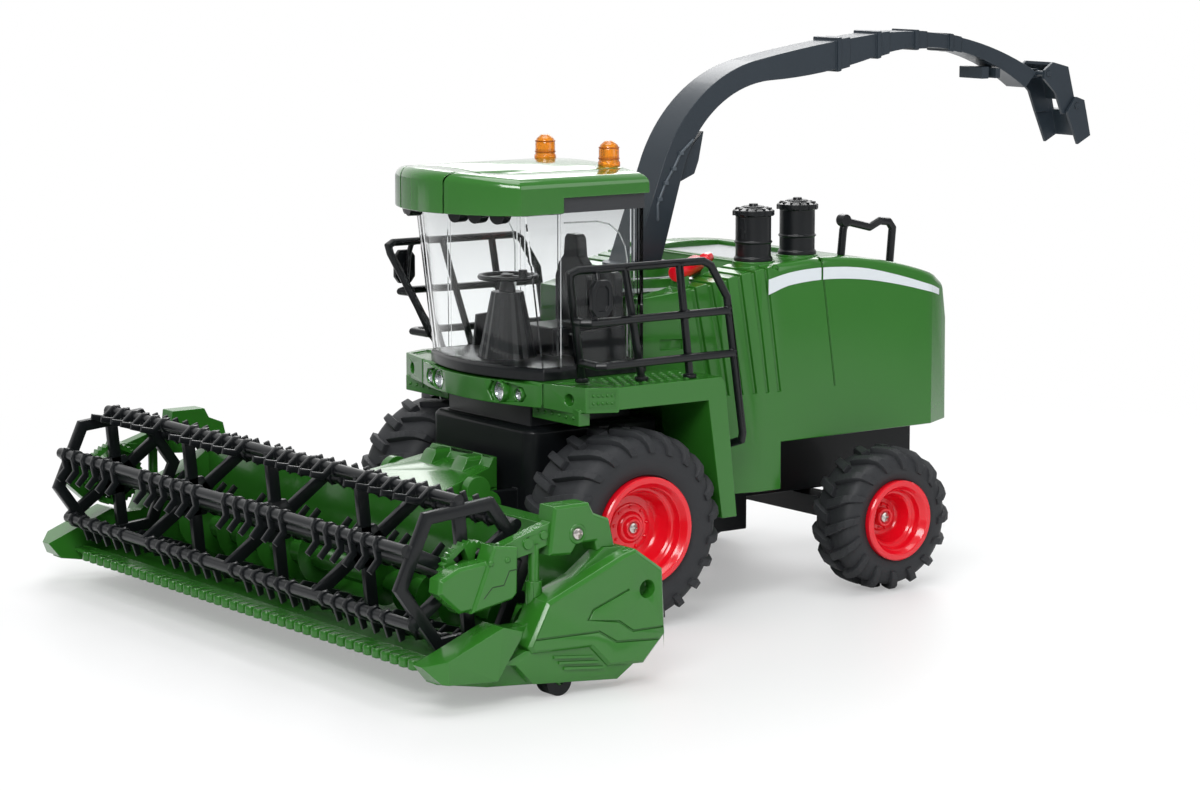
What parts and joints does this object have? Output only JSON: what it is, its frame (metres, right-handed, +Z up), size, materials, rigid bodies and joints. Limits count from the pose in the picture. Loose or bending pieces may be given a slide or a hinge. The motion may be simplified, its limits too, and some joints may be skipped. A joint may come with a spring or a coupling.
{
  "type": "toy forage harvester",
  "caption": "Toy self-propelled forage harvester with reel header, clear cab, ribbed hood, swivelling discharge spout and steered rear wheels.",
  "frame": {"origin": "on the ground under the middle of the outer box", "axes": "+Z up, the machine drives towards -Y, +X is its left side"},
  "size_m": [0.227, 0.3295, 0.1678],
  "materials": {
    "green_abs": "moulded ABS, satin gloss",
    "black_abs": "moulded ABS, semi-matt",
    "slate_abs": "moulded ABS, dark slate, semi-matt",
    "grey_abs": "moulded ABS, mid grey",
    "red_abs": "moulded ABS, gloss",
    "amber_lens": "tinted clear plastic",
    "lamp_clear": "clear plastic lens over a bright reflector",
    "clear_glazing": "clear moulded polystyrene, polished",
    "tyre_rubber": "soft black rubber, matt",
    "steel_pin": "plain steel rod"
  },
  "bodies": {
    "chassis": {"chassis_tub": "black_abs", "front_axle": "steel_pin", "rear_axle": "black_abs", "fender_deck": "green_abs", "headlamps": "lamp_clear", "cab_base": "black_abs", "cab_glazing": "clear_glazing", "cab_roof": "green_abs", "roof_liner": "black_abs", "roof_lamps": "black_abs", "beacons": "amber_lens", "steering_console": "grey_abs", "steering_wheel": "black_abs", "driver_seat": "black_abs", "engine_hood": "green_abs", "drum_stacks": "black_abs", "mist_outlet": "lamp_clear", "fire_bottle": "red_abs", "hood_handle": "black_abs", "railing_left": "black_abs", "railing_right": "black_abs", "spout_turntable": "green_abs"},
    "front_wheel_l": {"front_tyre_left": "tyre_rubber", "front_rim_left": "red_abs"},
    "front_wheel_r": {"front_tyre_right": "tyre_rubber", "front_rim_right": "red_abs"},
    "steer_l": {"knuckle_left": "black_abs"},
    "steer_r": {"knuckle_right": "black_abs"},
    "rack": {"steering_rack": "black_abs"},
    "rear_wheel_l": {"rear_tyre_left": "tyre_rubber", "rear_rim_left": "red_abs"},
    "rear_wheel_r": {"rear_tyre_right": "tyre_rubber", "rear_rim_right": "red_abs"},
    "header": {"header_table": "green_abs", "feeder_mount": "green_abs", "end_cover_left": "green_abs", "end_cover_right": "green_abs", "reel_arm_left": "green_abs", "reel_arm_right": "green_abs"},
    "reel_rotor": {"reel": "black_abs", "reel_gears": "green_abs"},
    "auger_rotor": {"auger": "green_abs"},
    "roller_l": {"ground_roller_left": "black_abs"},
    "roller_r": {"ground_roller_right": "black_abs"},
    "spout_arm": {"spout": "slate_abs"},
    "flap": {"deflector": "slate_abs"},
    "flap_tip": {"deflector_tip": "slate_abs"}
  },
  "joints": [
    {"name": "front_wheel_left_spin", "type": "hinge", "parent": "chassis", "child": "front_wheel_l", "pos_m": [0.0445, -0.0545, 0.029], "axis": [1, 0, 0], "continuous": true},
    {"name": "front_wheel_right_spin", "type": "hinge", "parent": "chassis", "child": "front_wheel_r", "pos_m": [-0.0445, -0.0545, 0.029], "axis": [1, 0, 0], "continuous": true},
    {"name": "steer_left", "type": "hinge", "parent": "chassis", "child": "steer_l", "pos_m": [0.032, 0.041, 0.022], "axis": [0, 0, 1], "range_deg": [-20, 20]},
    {"name": "steer_right", "type": "hinge", "parent": "chassis", "child": "steer_r", "pos_m": [-0.032, 0.041, 0.022], "axis": [0, 0, 1], "range_deg": [-20, 20]},
    {"name": "rack_slide", "type": "slide", "parent": "chassis", "child": "rack", "axis": [-1, 0, 0], "range_m": [-0.0032, 0.0032]},
    {"name": "rear_wheel_left_spin", "type": "hinge", "parent": "steer_l", "child": "rear_wheel_l", "pos_m": [0.0485, 0.041, 0.022], "axis": [1, 0, 0], "continuous": true},
    {"name": "rear_wheel_right_spin", "type": "hinge", "parent": "steer_r", "child": "rear_wheel_r", "pos_m": [-0.0485, 0.041, 0.022], "axis": [1, 0, 0], "continuous": true},
    {"name": "header_lift", "type": "hinge", "parent": "chassis", "child": "header", "pos_m": [0, -0.0864, 0.0351], "axis": [-1, 0, 0], "range_deg": [-2, 12]},
    {"name": "reel_spin", "type": "hinge", "parent": "header", "child": "reel_rotor", "pos_m": [0, -0.1441, 0.0333], "axis": [1, 0, 0], "continuous": true},
    {"name": "auger_spin", "type": "hinge", "parent": "header", "child": "auger_rotor", "pos_m": [0, -0.1175, 0.016], "axis": [1, 0, 0], "continuous": true},
    {"name": "roller_left_spin", "type": "hinge", "parent": "header", "child": "roller_l", "pos_m": [0.1075, -0.1225, 0.004], "axis": [1, 0, 0], "continuous": true},
    {"name": "roller_right_spin", "type": "hinge", "parent": "header", "child": "roller_r", "pos_m": [-0.1075, -0.1225, 0.004], "axis": [1, 0, 0], "continuous": true},
    {"name": "spout_swivel", "type": "hinge", "parent": "chassis", "child": "spout_arm", "pos_m": [0, -0.0165, 0.0984], "axis": [0, 0, 1], "range_deg": [-90, 90]},
    {"name": "deflector_tilt", "type": "hinge", "parent": "spout_arm", "child": "flap", "pos_m": [0, 0.1465, 0.152], "axis": [1, 0, 0], "range_deg": [-20, 40]},
    {"name": "deflector_tip_tilt", "type": "hinge", "parent": "flap", "child": "flap_tip", "pos_m": [0, 0.1581, 0.1412], "axis": [1, 0, 0], "range_deg": [-15, 35]}
  ],
  "couplings": [
    {"joint": "steer_right", "follows": "steer_left", "ratio": 1},
    {"joint": "rack_slide", "follows": "steer_left", "m_per_rad": 0.009}
  ]
}
